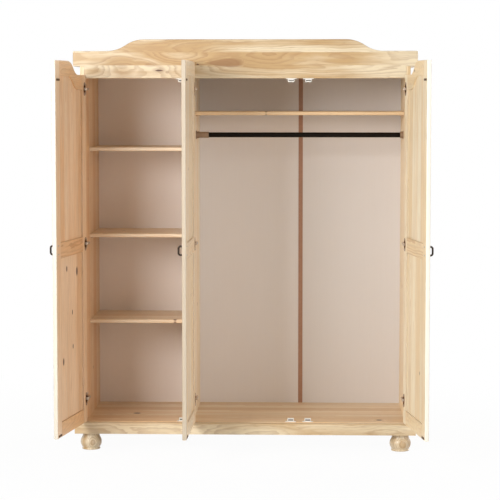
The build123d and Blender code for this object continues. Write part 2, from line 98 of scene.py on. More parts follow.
# %% Fields and finishes
class Field:
    """The value of one socket. Python's operators on it add Math nodes to its finish."""

    def __init__(self, finish, socket):
        self.finish = finish
        self.socket = socket

    def maths(self, operation, *others):
        values = dict(enumerate((self, *others)))
        return self.finish.node("ShaderNodeMath", {"operation": operation}, values)

    def output(self, name):
        return Field(self.finish, self.socket.node.outputs[name])

    def __add__(self, other):
        return self.maths("ADD", other)

    def __sub__(self, other):
        return self.maths("SUBTRACT", other)

    def __rsub__(self, other):
        return self.finish.node("ShaderNodeMath", {"operation": "SUBTRACT"}, {0: other, 1: self})

    def __mul__(self, other):
        return self.maths("MULTIPLY", other)

    def __truediv__(self, other):
        return self.maths("DIVIDE", other)

    __radd__ = __add__
    __rmul__ = __mul__


class Finish:
    """A material, or the world, as it is being written."""

    def __init__(self, name, library=bpy.data.materials, shader="Principled BSDF"):
        self.block = library.new(name)
        self.block.use_nodes = True
        self.tree = self.block.node_tree
        self.shader = self.tree.nodes[shader]

    def plug(self, sockets, values):
        for key, value in values.items():
            if isinstance(value, Field):
                self.tree.links.new(value.socket, sockets[key])
            else:
                sockets[key].default_value = value

    def node(self, kind, settings=None, values=None, output=0):
        made = self.tree.nodes.new(kind)
        for key, value in (settings or {}).items():
            setattr(made, key, value)
        self.plug(made.inputs, values or {})
        return Field(self, made.outputs[output])

    def surface(self, **values):
        self.plug(self.shader.inputs, {key.replace("_", " "): value for key, value in values.items()})

    def point(self, x, y, z):
        return self.node("ShaderNodeCombineXYZ", None, {0: x, 1: y, 2: z})

    def noise(self, place, detail=1.0, roughness=0.5):
        values = {"Vector": place, "Scale": 1.0, "Detail": detail, "Roughness": roughness}
        return self.node("ShaderNodeTexNoise", None, values)

    def dice(self, value):
        """Three chance numbers from 0 to 1 that depend on one value."""
        colour = self.node("ShaderNodeTexWhiteNoise", {"noise_dimensions": "1D"}, {"W": value}, "Color")
        split = self.node("ShaderNodeSeparateColor", None, {0: colour})
        return split, split.output("Green"), split.output("Blue")

    def rise(self, value, low, high):
        """0 below low, 1 above high, and a smooth slope between."""
        values = {"Value": value, "From Min": low, "From Max": high}
        return self.node("ShaderNodeMapRange", {"interpolation_type": "SMOOTHSTEP"}, values)

    def blend(self, factor, first, second, kind="MIX"):
        settings = {"data_type": "RGBA", "blend_type": kind}
        return self.node("ShaderNodeMix", settings, {0: factor, 6: first, 7: second}, 2)

    def bump(self, height, distance, strength=1.0):
        values = {"Height": height, "Distance": distance, "Strength": strength}
        return self.node("ShaderNodeBump", None, values)


def paint(*levels):
    """A colour given as it looks, in steps of 0 to 255, turned into the light that Blender reckons in."""
    light = [((v / 255 + 0.055) / 1.055) ** 2.4 if v > 10 else v / 255 / 12.92 for v in levels]
    return (*light, 1.0)


def give(node, finish):
    """Put a finish on one solid."""
    nodes[node].data.materials.clear()
    nodes[node].data.materials.append(finish.block)


print("finishes can be written now")

# %% [markdown]
# ## The studio
# The picture has a white ground with no room in it. The floor is nearly white and glows a little for
# the camera alone, so that it stays white and still takes a soft shadow, and the world behind is white
# in the same way. The light itself is plain: a weak even sky, and a softbox to the left, close enough
# that the open doors throw shadows on the cornice and the plinth, and each bay is darker on its left.
# Two broad fills from the right open up the doors' inner faces, and a last lamp behind on the right
# serves whoever walks round the wardrobe. A lamp's level is the light that it gives where it is aimed:
# all together come to about 1 there, so that a colour looks as it is written.

# %% Floor and world
sky_level = 0.28
near_glow = 0.96
shadow_reach = (0.9, 2.6)
floor_size = 60
floor_white = (0.86, 0.86, 0.86, 1)
bpy.ops.mesh.primitive_plane_add(size=floor_size)
floor = bpy.context.object
floor.name = "studio_floor"


def seen_rays(finish):
    """1 for the rays that show a thing to the camera, straight, mirrored or through glass."""
    rays = finish.node("ShaderNodeLightPath")
    seen = rays.maths("MAXIMUM", rays.output("Is Glossy Ray"))
    return seen.maths("MAXIMUM", rays.output("Is Transmission Ray"))


floor_finish = Finish("studio_white")
floor_finish.surface(Base_Color=floor_white, Roughness=0.9)
glow = floor_finish.node("ShaderNodeEmission", None, {"Strength": 1.0})
ground_place = floor_finish.node("ShaderNodeTexCoord", None, None, "Object")
ground_split = floor_finish.node("ShaderNodeSeparateXYZ", None, {0: ground_place})
ground_x, ground_y = ground_split, ground_split.output("Y")
distance = (ground_x * ground_x + ground_y * ground_y).maths("SQRT")
floor_glow = floor_finish.rise(distance, *shadow_reach) * (1 - near_glow) + near_glow
matt = Field(floor_finish, floor_finish.shader.outputs[0])
shares = {0: seen_rays(floor_finish) * floor_glow, 1: matt, 2: glow}
ground = floor_finish.node("ShaderNodeMixShader", None, shares)
floor_finish.plug(floor_finish.tree.nodes["Material Output"].inputs, {"Surface": ground})
floor.data.materials.append(floor_finish.block)

sky = Finish("studio_sky", bpy.data.worlds, "Background")
sky.surface(Color=(1, 1, 1, 1), Strength=seen_rays(sky) * (1 - sky_level) + sky_level)
bpy.context.scene.world = sky.block
print("floor and sky are white to the camera, and light at", sky_level)

# %% Lamps
lamp_aim = Vector((0, 0, 0.95))
Lamp = namedtuple("Lamp", "name place size level")
lamps = (
    Lamp("key_softbox", (-2.1, -3.5, 2.0), 1.5, 0.74),
    Lamp("front_fill", (3.3, -7.0, 2.6), 3.0, 0.10),
    Lamp("side_fill", (5.6, -5.6, 2.6), 3.0, 0.155),
    Lamp("rear_softbox", (3.6, 4.6, 2.8), 2.5, 0.50),
)
for name, place, size, level in lamps:
    way = Vector(place) - lamp_aim
    bpy.ops.object.light_add(type="AREA", location=place)
    lamp = bpy.context.object
    lamp.name = name
    lamp.visible_camera = False
    lamp.data.size = size
    lamp.data.energy = level * math.pi**2 * way.length_squared
    lamp.rotation_mode = "QUATERNION"
    lamp.rotation_quaternion = way.to_track_quat("Z", "Y")
    print(name, round(lamp.data.energy), "W")

# %% [markdown]
# ## Pine
# Pine is a tree cut into boards, so the finish begins with the tree: rings round a heart, pale and
# wide in spring, dark and narrow in late summer. Each board is glued from staves, and each stave came
# from another place in the tree: it gets its own heart, some way behind the face, that wanders along
# the board. Where the heart swings towards the face the rings open into arches, and where it is far
# off they close into stripes. Because the rings fill space, end grain and rounded edges come out right
# by themselves. Knots push the rings aside. Fibres, resin dashes and a slow blotch do the rest, and a
# thin satin lacquer lies over it all. Where a board has one face outside and one inside, the inner face
# keeps the painted light of its stock and the outer face takes a tint that brings every stock to one tone.

# %% Lay out one board
def board_fields(finish, node, grain, door):
    """Distances along the grain, across it and through the board, from the board's own low corner."""
    flat = doors[door] if door else Matrix()
    corners = [flat @ v.co for v in nodes[node].data.vertices]
    low = [min(c[axis] for c in corners) for axis in range(3)]
    high = [max(c[axis] for c in corners) for axis in range(3)]
    place = finish.node("ShaderNodeTexCoord", None, None, "Object")
    turn = {"Vector": place, "Rotation": flat.to_euler(), "Location": flat.translation - Vector(low)}
    turned = finish.node("ShaderNodeMapping", None, turn)
    split = finish.node("ShaderNodeSeparateXYZ", None, {0: turned})
    fields = [split.output(axis.upper()) for axis in grain]
    sizes = [high["xyz".index(axis)] - low["xyz".index(axis)] for axis in grain]
    return fields, sizes


# %% Colours of the stocks
# A stock has a spring, a honey and a summer colour. Amber, ivory and straw hold painted light as well as
# the pine's own colour: amber is deeper for the shaded left bay, ivory paler for the brightly lit partition
# and middle door, straw between for the right. The last colour is a tint laid over the stock's outer
# faces: pale stock takes more of it, so that the outside comes to one tone.
Stock = namedtuple("Stock", "spring honey summer daylight", defaults=(None,))
golden = Stock(paint(226, 209, 177), paint(188, 154, 106), paint(148, 103, 61))
# Painted light: amber, ivory and straw carry the light of the parts they are given to.
amber = Stock(paint(246, 218, 187), paint(236, 195, 150), paint(200, 144, 92), paint(235, 243, 239))
ivory = Stock(paint(253, 244, 228), paint(251, 229, 196), paint(222, 181, 131), paint(225, 211, 189))
straw = Stock(paint(247, 236, 210), paint(237, 214, 174), paint(207, 166, 114), paint(234, 222, 208))
fawn = Stock(paint(237, 218, 191), paint(226, 195, 154), paint(194, 147, 98))
knot_brown = paint(122, 68, 32)
knot_heart = paint(46, 23, 12)
# Painted shade for the doors' sight edges, where frame and panel meet.
sight_shade_brown = paint(132, 92, 58)
print("five stocks of pine")

# %% Knots, flames and edges
Knot = namedtuple("Knot", "along across radius stretch depth", defaults=(1.8, 1.0))
knot_rim = (0.45, 1.0)
knot_sway = (0.4, 4.5)


def knot_fields(finish, along, across, knots):
    """How dark the knots make each place, and how far they push the rings aside there."""
    core = None
    swirl = None
    for knot in knots:
        a = (along - knot.along) / (knot.radius * knot.stretch)
        c = (across - knot.across) / knot.radius
        distance = (a * a + c * c).maths("SQRT")
        inside = (1 - finish.rise(distance, *knot_rim)) * knot.depth
        aside = (1 - finish.rise(distance, *knot_sway)) * knot.radius
        core = inside if core is None else core.maths("MAXIMUM", inside)
        swirl = aside if swirl is None else swirl.maths("MAXIMUM", aside)
    return core, swirl


Flame = namedtuple("Flame", "along across half_length half_width")
flame_width = 0.8
flame_taper = 0.35
flame_rim = (0.75, 1.1)


def flame_fields(finish, along, across, sway, flame):
    """Rings of a flame, where the saw grazed the heart, and how far inside it a place is."""
    a = (along - flame.along) / flame.half_length
    c = (across - flame.across) / flame.half_width / (a * flame_taper + flame_width)
    reach = (a * a + c * c).maths("SQRT") + sway
    return reach * flame.half_width, 1 - finish.rise(reach, *flame_rim)


# An edge band lays a colour along one side of a board: painted shade on the doors' sight edges, a painted
# highlight on their free edges.
Edge = namedtuple("Edge", "side colour reach share")
print("knots, flames and edges can be placed by a board's own corner")


# %% Grow the pine
heart_near = 0.008
heart_far = 0.045
heart_wander = 0.20
heart_sway = 0.026
heart_aside = 1.3
ring_sway = 0.020
knot_push = 1.6
late_rise = (0.30, 0.90)
late_fall = (0.92, 1.0)
resin_rise = (0.66, 0.78)
resin_share = 0.25
flame_share = 0.7
knot_share = 0.9
knot_heart_rise = (0.7, 1.0)
knot_heart_share = 0.7
outer_tint_depth = (0.2, 0.45)
coat_roughness = 0.24
lacquer_roughness = 0.42
lacquer_grain = 0.16
pore_depth = 0.00012


def pine(
    node, grain, stock, staves=1, door=None, tone=0.0, tones=(), painted_light_fades=(), figure=1.0,
    ring=0.0055, late_share=0.36, fibre_share=0.16, fibre_pitch=0.0016, softness=0.14, gloss=0.12,
    knots=(), flame=None, edges=(), outside=0,
):
    """Pine for one board: grain names the axes along, across and through it, as in "xzy"."""
    spring, honey, summer, outer_tint = stock
    finish = Finish(f"pine_{node}")
    chance = random.Random(node)
    start = [chance.uniform(0, 50) for _ in range(4)]
    (along, across, through), (_, width, thickness) = board_fields(finish, node, grain, door)

    stave_width = width / staves
    stave = (across / stave_width).maths("FLOOR")
    luck, fate, lot = finish.dice(stave * 3.7 + start[0])
    aside = across - (stave + 0.5) * stave_width

    slow = finish.point(along * 1.3 + luck * 60, fate * 30, start[1])
    wander = finish.noise(slow, 2.0, 0.5) - 0.5
    rough = finish.point(along * 4.5 + fate * 40, across * 22 + start[2], through * 22)
    sway = finish.noise(rough, 3.0, 0.55) - 0.5
    core, swirl = knot_fields(finish, along, across, knots)

    depth = through + (heart_near + heart_far * fate)
    depth = depth + wander * (heart_wander * figure) + sway * (heart_sway * figure)
    if swirl:
        depth = depth + swirl * knot_push
    offset = aside + (lot - 0.5) * (stave_width * heart_aside) + sway * (ring_sway * figure)
    rings = (depth * depth + offset * offset).maths("SQRT") / ring
    if flame:
        reach, inside = flame_fields(finish, along, across, sway, flame)
        rings = rings + (reach / ring - rings) * inside
    season = rings.maths("FRACT")
    strength, _, _ = finish.dice(rings.maths("FLOOR") + stave * 11.3)
    late = finish.rise(season, *late_rise) * (1 - finish.rise(season, *late_fall))
    late = late * (strength * 0.6 + 0.4)
    decade = finish.noise(finish.point(rings * 0.21, stave * 7.1 + start[2], along * 0.8), 2.0)

    fibre_place = finish.point(along * 9, across / fibre_pitch, through / fibre_pitch + start[3])
    streak = finish.noise(fibre_place, 2.0, 0.6)
    blotch = finish.noise(finish.point(along * 1.7 + luck * 20, across * 13, through * 13 + start[1]), 3.0)
    dash = finish.noise(finish.point(along * 26, across * 330, through * 330), 0.0)
    resin = finish.rise(dash, *resin_rise)

    warm = blotch * 0.45 + decade * 0.55 + (luck - 0.5) * 0.22 + tone
    for index, stave_tone in enumerate(tones):
        warm = warm + stave.maths("COMPARE", index, 0.5) * stave_tone
    # Painted light: set stretches along the board have their tone shifted; on the cornice this paints the
    # ends paler where the lamps light them more.
    for fade_start, fade_end, fade_tone in painted_light_fades:
        warm = warm + finish.rise(along, fade_start, fade_end) * fade_tone
    colour = finish.blend(finish.rise(warm, 0.5 - softness, 0.5 + softness), spring, honey)
    colour = finish.blend(late * late_share, colour, summer)
    colour = finish.blend(resin * resin_share, colour, summer)
    if flame:
        colour = finish.blend(inside * flame_share, colour, summer)
    shade = (streak - 0.5) * fibre_share + (fate - 0.5) * 0.08 + 1.0
    grey = finish.node("ShaderNodeCombineColor", None, {0: shade, 1: shade, 2: shade})
    colour = finish.blend(1.0, colour, grey, "MULTIPLY")
    if core:
        colour = finish.blend(core * knot_share, colour, knot_brown)
        dark = finish.rise(core, *knot_heart_rise) * knot_heart_share
        colour = finish.blend(dark, colour, knot_heart)
    # The outer face takes the stock's outer tint, which evens out the stocks' painted light on the outside.
    if outside:
        outwards = through if outside > 0 else thickness - through
        outer_tinted = finish.rise(outwards, *(thickness * share for share in outer_tint_depth))
        colour = finish.blend(outer_tinted, colour, outer_tint, "MULTIPLY")
    # Edge bands: painted shade along sight edges, a painted highlight along free edges.
    for edge in edges:
        rim = across if edge.side < 0 else width - across
        near = 1 - finish.rise(rim, edge.reach * 0.5, edge.reach)
        colour = finish.blend(near * edge.share, colour, edge.colour)

    relief = streak * 0.6 - late * 0.4
    finish.surface(
        Base_Color=colour,
        Roughness=(streak - 0.5) * lacquer_grain + lacquer_roughness,
        Normal=finish.bump(relief, pore_depth, 0.5),
        Coat_Weight=gloss,
        Coat_Roughness=coat_roughness,
    )
    give(node, finish)


print("pine is ready")

# %% [markdown]
# ## The carcass boards
# Every board says which way its grain runs and how many staves it is glued from. Uprights run
# upwards, shelves and rails along their length. The wide boards of such furniture are glued from
# staves about as wide as a hand; the plinth and the rails are single pieces. A knot is given by its
# place along and across the board, measured from the low corner, and its radius. Where it matters,
# how many times longer than wide it is and how dark it is, from 0 to 1, follow.

# %% Finish the carcass
# The sides and partition take amber, straw and ivory, whose colours carry painted light.
uprights = {
    "left_side_panel": (amber, -1, (Knot(0.253, 0.273, 0.007), Knot(1.11, 0.12, 0.006))),
    "right_side_panel": (straw, 1, (Knot(0.62, 0.31, 0.008), Knot(1.24, 0.44, 0.006))),
    "centre_partition": (ivory, 0, (Knot(0.48, 0.35, 0.007),)),
}
for node, (stock, outside, knots) in uprights.items():
    pine(node, "zyx", stock, staves=7, tone=0.06, figure=0.5, knots=knots, outside=outside)
floor_knots = (Knot(0.203, 0.217, 0.022, 1.0), Knot(1.284, 0.063, 0.019, 1.0))
pine("bottom_panel", "xyz", fawn, staves=7, tone=0.06, figure=0.8, knots=floor_knots)
top_knots = (Knot(0.52, 0.30, 0.010),)
pine("top_panel", "xyz", straw, staves=7, tone=0.04, figure=0.8, knots=top_knots, outside=1)
shelves = {
    "lower_shelf": (-0.06, (Knot(0.378, 0.004, 0.006),)),
    "middle_shelf": (-0.06, (Knot(0.13, 0.21, 0.008),)),
    "upper_shelf": (-0.06, ()),
    "hat_shelf": (0.14, (Knot(0.314, 0.004, 0.005),)),
}
for node, (tone, knots) in shelves.items():
    pine(node, "xyz", fawn, staves=5, tone=tone, figure=0.8, knots=knots)

cornice_flame = Flame(0.655, 0.066, 0.085, 0.021)
cornice_knots = (
    Knot(0.374, 0.034, 0.005, 5.0),
    Knot(0.374, 0.036, 0.015, 2.6, 0.30),
    Knot(0.409, 0.027, 0.008, 1.4, 0.45),
    Knot(0.215, 0.050, 0.014, 2.2, 0.26),
    Knot(0.335, 0.058, 0.013, 2.4, 0.28),
    Knot(0.541, 0.060, 0.004, 2.0, 0.9),
)
# Painted light: both ends of the cornice are painted paler, the right end most, for the light that falls on
# them.
cornice_painted_light_ends = ((1.15, 1.45, -0.16), (0.25, 0.0, -0.07))
pine(
    "cornice_board", "xzy", golden, staves=3, tones=(-0.02, -0.03, -0.05), painted_light_fades=cornice_painted_light_ends,
    figure=1.3, ring=0.010, late_share=0.38, softness=0.08, knots=cornice_knots, flame=cornice_flame,
)
pine("plinth_front_rail", "xzy", golden, tone=-0.07, ring=0.008, softness=0.10)
pine("plinth_back_rail", "xzy", golden)
for node in ("plinth_left_rail", "plinth_right_rail"):
    pine(node, "yzx", golden, tone=-0.12)
pine("foot_blocks", "xyz", golden, staves=2)
turned_look = {"figure": 0.6, "late_share": 0.55, "softness": 0.08, "gloss": 0.6}
for row in ("front", "rear"):
    for side, tone in (("left", 0.05), ("right", 0.12)):
        pine(f"{row}_{side}_foot", "zxy", golden, tone=tone, **turned_look)
print("carcass boards finished")

# %% [markdown]
# ## The doors
# A framed door has grain that turns the corner: the stiles run upwards and the rails across, and
# that change of direction is what lets the eye read the joints. The panels are glued from staves of
# straight grain; the mid rails are flat-sawn, with arches. The free stile's edge is painted pale, a painted
# highlight where its rounded edge catches the light, and along the sight edges, where frame and panel meet,
# a brown line of painted shade is laid.

# %% Finish the doors
door_knots = {
    "left_door_lower_panel": (
        Knot(0.642, 0.244, 0.012, 1.4),
        Knot(0.619, 0.087, 0.017, 1.5),
        Knot(0.255, 0.302, 0.014, 1.5),
        Knot(0.450, 0.161, 0.008),
        Knot(0.303, 0.154, 0.008),
    ),
    "middle_door_upper_panel": (Knot(0.31, 0.22, 0.006),),
    "middle_door_lower_panel": (Knot(0.52, 0.10, 0.007),),
    "right_door_lower_panel": (Knot(0.21, 0.09, 0.006),),
    "right_door_top_rail": (Knot(0.206, 0.080, 0.008, 1.3),),
}
# The stock of each door, on which side its free edge lies when it is closed, and the colour painted on that
# edge: a painted highlight on the left and right doors, darker on the middle door.
door_stocks = {
    "left_door": (amber, 1, paint(219, 212, 197)),
    "middle_door": (ivory, 1, paint(188, 174, 154)),
    "right_door": (straw, -1, paint(252, 247, 234)),
}
# Painted shade: a brown line along the sight edges, where the joint between frame and panel falls into
# shadow.
upper_sight_shade, lower_sight_shade = (Edge(side, sight_shade_brown, reach=0.0026, share=0.3) for side in (1, -1))
arches = {"ring": 0.009, "late_share": 0.7}
for door, (stock, free_side, free_highlight_colour) in door_stocks.items():
    # Painted highlight: a band of the edge colour along the free edge, for the light its rounded edge
    # catches; on the middle door the band is darker.
    free_edge_highlight = Edge(free_side, free_highlight_colour, reach=0.0045, share=0.85)
    hinge_sight_shade, free_sight_shade = (upper_sight_shade, lower_sight_shade) if free_side > 0 else (lower_sight_shade, upper_sight_shade)
    look = {"stock": stock, "door": door, "fibre_share": 0.34, "fibre_pitch": 0.010, "outside": -1}
    pine(f"{door}_hinge_stile", "zxy", figure=0.4, edges=(hinge_sight_shade,), **look)
    pine(f"{door}_free_stile", "zxy", figure=0.4, edges=(free_edge_highlight, free_sight_shade), **look)
    knots = door_knots.get(f"{door}_top_rail", ())
    pine(f"{door}_top_rail", "xzy", tone=0.06, knots=knots, edges=(lower_sight_shade,), **look)
    pine(f"{door}_mid_rail", "xzy", tone=0.10, edges=(upper_sight_shade, lower_sight_shade), **arches, **look)
    pine(f"{door}_bottom_rail", "xzy", tone=0.04, edges=(upper_sight_shade,), **look)
    for part in ("upper_panel", "lower_panel"):
        knots = door_knots.get(f"{door}_{part}", ())
        pine(f"{door}_{part}", "zxy", staves=4, figure=0.35, knots=knots, **look)
print(len(doors), "doors finished")

# %% [markdown]
# ## The back
# The back is three sheets of hardboard. The side that faces into the wardrobe is coated a warm
# white with a faint upright brushing; the side to the wall is left raw, brown, with the
# mark of the wire screen that the sheet was pressed on. Both are on the same thin solid, so the finish
# asks how deep in the sheet a place is. Each sheet's white carries painted light for its part of the back:
# the left sheet is painted palest and warmest, the right greyest.

# %% Finish the back sheets
# Painted light: the whites differ from sheet to sheet for the light and warm bounce on each part of the
# back.
sheet_coats_painted_light = {
    "back_panel_left": (paint(245, 236, 230), paint(237, 226, 219)),
    "back_panel_middle": (paint(236, 231, 229), paint(228, 220, 217)),
    "back_panel_right": (paint(227, 222, 220), paint(219, 212, 208)),
}
raw_brown = paint(126, 88, 58)
raw_dark = paint(92, 60, 38)
screen_pitch = 0.0022
coat_depth = (0.0012, 0.0018)

for node, (coat_white, coat_shade) in sheet_coats_painted_light.items():
    finish = Finish(f"hardboard_{node}")
    place = finish.node("ShaderNodeTexCoord", None, None, "Object")
    split = finish.node("ShaderNodeSeparateXYZ", None, {0: place})
    x, y, z = (split.output(axis) for axis in "XYZ")
    low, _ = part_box(node)
    raw = finish.rise(y, *(low.y + depth for depth in coat_depth))
    brushing = finish.noise(finish.point(x * 420, y, z * 5), 2.0)
    cloud = finish.noise(finish.point(x * 3, y * 3, z * 2), 2.0)
    coated = finish.blend(brushing * 0.35 + cloud * 0.65, coat_white, coat_shade)
    fibre = finish.noise(finish.point(x * 240, y * 240, z * 240), 3.0)
    pressed = finish.blend(fibre, raw_brown, raw_dark)
    weft, warp = ((axis * (math.tau / screen_pitch)).maths("SINE") for axis in (x, z))
    wires = weft * warp
    relief = wires * raw * 0.5 + brushing * 0.15
    finish.surface(
        Base_Color=finish.blend(raw, coated, pressed),
        Roughness=raw * 0.25 + 0.55,
        Normal=finish.bump(relief, 0.0002, 0.5),
    )
    give(node, finish)
print("back sheets finished")

# %% [markdown]
# ## Fittings
# The fittings are small, so each needs only the one thing that tells its stuff: a drawn line along
# the steel, a slight mould mottle on plastic, an uneven patina on the iron of the handles.

# %% Finish the metal and plastic
def metal(name, bright, dull, roughness, metallic=1.0, scale=(300, 300, 300), wear=0.12):
    """Metal whose colour and gloss vary with a noise stretched along its working direction."""
    finish = Finish(name)
    place = finish.node("ShaderNodeTexCoord", None, None, "Object")
    stretched = finish.node("ShaderNodeMapping", None, {"Vector": place, "Scale": scale})
    drawn = finish.noise(stretched, 3.0)
    finish.surface(
        Base_Color=finish.blend(drawn, dull, bright),
        Metallic=metallic,
        Roughness=(drawn - 0.5) * wear + roughness,
        Normal=finish.bump(drawn, 0.00004, 0.4),
    )
    return finish


mottle_scale = 90
spark_scale = 2200


def plastic(name, light, dark, roughness):
    """Moulded plastic with a faint mottle and a fine spark-eroded texture."""
    finish = Finish(name)
    place = finish.node("ShaderNodeTexCoord", None, None, "Object")
    coarse, fine = (
        finish.node("ShaderNodeMapping", None, {"Vector": place, "Scale": (scale, scale, scale)})
        for scale in (mottle_scale, spark_scale)
    )
    mottle = finish.noise(coarse, 2.0)
    grain = finish.noise(fine)
    finish.surface(
        Base_Color=finish.blend(mottle, dark, light),
        Roughness=(mottle - 0.5) * 0.1 + roughness,
        Normal=finish.bump(grain, 0.00003, 0.4),
    )
    return finish


nickel = metal("nickel_plate", paint(226, 206, 184), paint(196, 172, 148), 0.28)
# Painted shade: the hinge cups are painted dark brown for the dark their flanges show seen edge-on.
cup_painted_dark = metal("hinge_cup_painted_dark", paint(184, 146, 112), paint(146, 110, 80), 0.34)
screw_zinc = metal("zinc_plate", paint(206, 204, 200), paint(170, 166, 158), 0.34)
strike_steel = metal("bronzed_steel", paint(124, 92, 64), paint(74, 54, 38), 0.42)
iron = metal("patinated_iron", paint(66, 54, 46), paint(34, 27, 22), 0.45, 0.7, (140, 140, 140), 0.2)
rail_black = metal("black_coated_tube", paint(22, 13, 5), paint(10, 6, 2), 0.5, 0.0, (4, 420, 420), 0.08)
magnet_grey = metal("magnet_plates", paint(120, 116, 110), paint(84, 80, 76), 0.5)
white_plastic = plastic("white_moulding", paint(243, 240, 233), paint(232, 228, 220), 0.42)
strip_brown = plastic("brown_strip", paint(178, 131, 102), paint(154, 111, 84), 0.45)
socket_brown = plastic("brown_socket", paint(158, 130, 104), paint(130, 104, 80), 0.42)

rail_black.surface(Specular_IOR_Level=0.1)

give("clothes_rail", rail_black)
give("rail_sockets", socket_brown)
give("magnet_catches", white_plastic)
give("catch_magnets", magnet_grey)
give("hinge_plates", nickel)
give("hinge_arms", nickel)
give("shelf_pins", nickel)
give("back_joining_strip", strip_brown)
for door in doors:
    give(f"{door}_handle", iron)
    give(f"{door}_hinge_cups", cup_painted_dark)
    give(f"{door}_strike_plates", strike_steel)
print("fittings finished")

# %% [markdown]
# ## Finding the separate fittings
# One node may hold several fittings of a kind, such as nine hinge plates. To screw each of them down
# we need its own box: a copy of the node is merged, parted into its loose pieces, measured and thrown
# away. For a door the copy is first laid flat.

# %% Measure the pieces in a node
def fittings(node, flat=Matrix()):
    """Low and high corner of every separate solid in one node, in the flat frame."""
    bpy.ops.object.select_all(action="DESELECT")
    copy = nodes[node].copy()
    copy.data = nodes[node].data.copy()
    copy.parent = None
    copy.data.transform(flat)
    bpy.context.collection.objects.link(copy)
    copy.select_set(True)
    bpy.context.view_layer.objects.active = copy
    bpy.ops.object.mode_set(mode="EDIT")
    bpy.ops.mesh.select_all(action="SELECT")
    bpy.ops.mesh.remove_doubles(threshold=0.00001)
    bpy.ops.mesh.separate(type="LOOSE")
    bpy.ops.object.mode_set(mode="OBJECT")
    boxes = []
    for piece in list(bpy.context.selected_objects):
        corners = [v.co for v in piece.data.vertices]
        low = Vector([min(c[axis] for c in corners) for axis in range(3)])
        high = Vector([max(c[axis] for c in corners) for axis in range(3)])
        boxes.append((low, high))
        bpy.data.objects.remove(piece)
    return boxes


print(len(fittings("hinge_plates")), "hinge plates to screw down")

# %% [markdown]
# ## The rail's sleeve
# At the partition the rail gets a sleeve in the sockets' brown, lighter than the rail, reaching 57 mm along
# it from the partition; at the side panel there is none. The socket's collar is as wide as the sleeve,
# which goes on from it
# along the rail. A sleeve is a short pipe: a cylinder without ends, given a wall that grows inwards.

# %% Make the sleeve
sleeve_end = 0.057
sleeve_slack = 0.0002
sleeve_wall = 0.0025
sleeve_rim = 0.0006
smooth_angle = math.radians(35)
rail_low, rail_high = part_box("clothes_rail")
rail_middle = (rail_low + rail_high) / 2
left_socket = min(fittings("rail_sockets"), key=lambda box: box[0].x)
sleeve_start = left_socket[1].x
sleeve_length = left_socket[0].x + sleeve_end - sleeve_start
rail_radius = (rail_high.z - rail_low.z) / 2
bpy.ops.object.select_all(action="DESELECT")
bpy.ops.mesh.primitive_cylinder_add(
    vertices=48,
    radius=rail_radius + sleeve_slack + sleeve_wall,
    depth=sleeve_length,
    end_fill_type="NOTHING",
    location=(sleeve_start + sleeve_length / 2, rail_middle.y, rail_middle.z),
    rotation=(0, math.pi / 2, 0),
)
sleeve = bpy.context.object
sleeve.name = "rail_sleeve"
bpy.ops.object.transform_apply(location=True, rotation=True, scale=True)
wall = sleeve.modifiers.new("wall", "SOLIDIFY")
wall.thickness = sleeve_wall
wall.offset = -1
bpy.ops.object.modifier_apply(modifier=wall.name)
soft_rim = sleeve.modifiers.new("soft_rim", "BEVEL")
soft_rim.width = sleeve_rim
soft_rim.segments = 2
soft_rim.angle_limit = math.radians(60)
bpy.ops.object.modifier_apply(modifier=soft_rim.name)
bpy.ops.object.shade_smooth_by_angle(angle=smooth_angle)
sleeve.data.materials.append(socket_brown.block)
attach(sleeve, "carcass")
print("sleeve of", round(sleeve_length * 1000), "mm, faces", len(sleeve.data.polygons))

# %% [markdown]
# ## Screws and nails
# The screws are round-headed with a cross recess, the usual kind for furniture fittings. One head is
# made from a cylinder: its upper rim is bevelled into a dome and two bars are cut out for the cross.
# It is then copied to each place, and the copies for one job are joined into one piece. A nail is the
# same without a cross, flatter, and the back sheets are nailed in rows up their edges and along their foot.

# %% Make one screw and one nail
dome_share = 0.7
dome_steps = 3


def domed_head(diameter, height, sides):
    """A head that stands on z = 0 with its rim bevelled into a dome."""
    bpy.ops.object.select_all(action="DESELECT")
    bpy.ops.mesh.primitive_cylinder_add(
        vertices=sides, radius=diameter / 2, depth=height, location=(0, 0, height / 2)
    )
    head = bpy.context.object
    bpy.ops.object.transform_apply(location=True, rotation=True, scale=True)
    bpy.ops.object.mode_set(mode="EDIT")
    bpy.ops.mesh.select_all(action="DESELECT")
    bpy.ops.object.mode_set(mode="OBJECT")
    for edge in head.data.edges:
        edge.select = all(head.data.vertices[v].co.z > height / 2 for v in edge.vertices)
    bpy.ops.object.mode_set(mode="EDIT")
    bpy.ops.mesh.select_mode(type="EDGE")
    bpy.ops.mesh.bevel(offset=height * dome_share, segments=dome_steps, affect="EDGES")
    bpy.ops.object.mode_set(mode="OBJECT")
    return head


def cut_cross(head, length, blade, depth):
    """Take a cross out of the top of a head."""
    top = max(v.co.z for v in head.data.vertices)
    for scale in ((length, blade, depth * 2), (blade, length, depth * 2)):
        bpy.ops.mesh.primitive_cube_add(size=1, location=(0, 0, top), scale=scale)
        bar = bpy.context.object
        bpy.ops.object.transform_apply(location=True, rotation=True, scale=True)
        recess = head.modifiers.new("recess", "BOOLEAN")
        recess.object = bar
        bpy.context.view_layer.objects.active = head
        bpy.ops.object.modifier_apply(modifier=recess.name)
        bpy.data.objects.remove(bar)


screw = domed_head(diameter=0.0066, height=0.0020, sides=20)
cut_cross(screw, length=0.0038, blade=0.0009, depth=0.0010)
small_screw = domed_head(diameter=0.0054, height=0.0013, sides=20)
cut_cross(small_screw, length=0.0032, blade=0.0008, depth=0.0007)
nail = domed_head(diameter=0.0046, height=0.0009, sides=12)
print("a screw has", len(screw.data.polygons), "faces and a nail", len(nail.data.polygons))


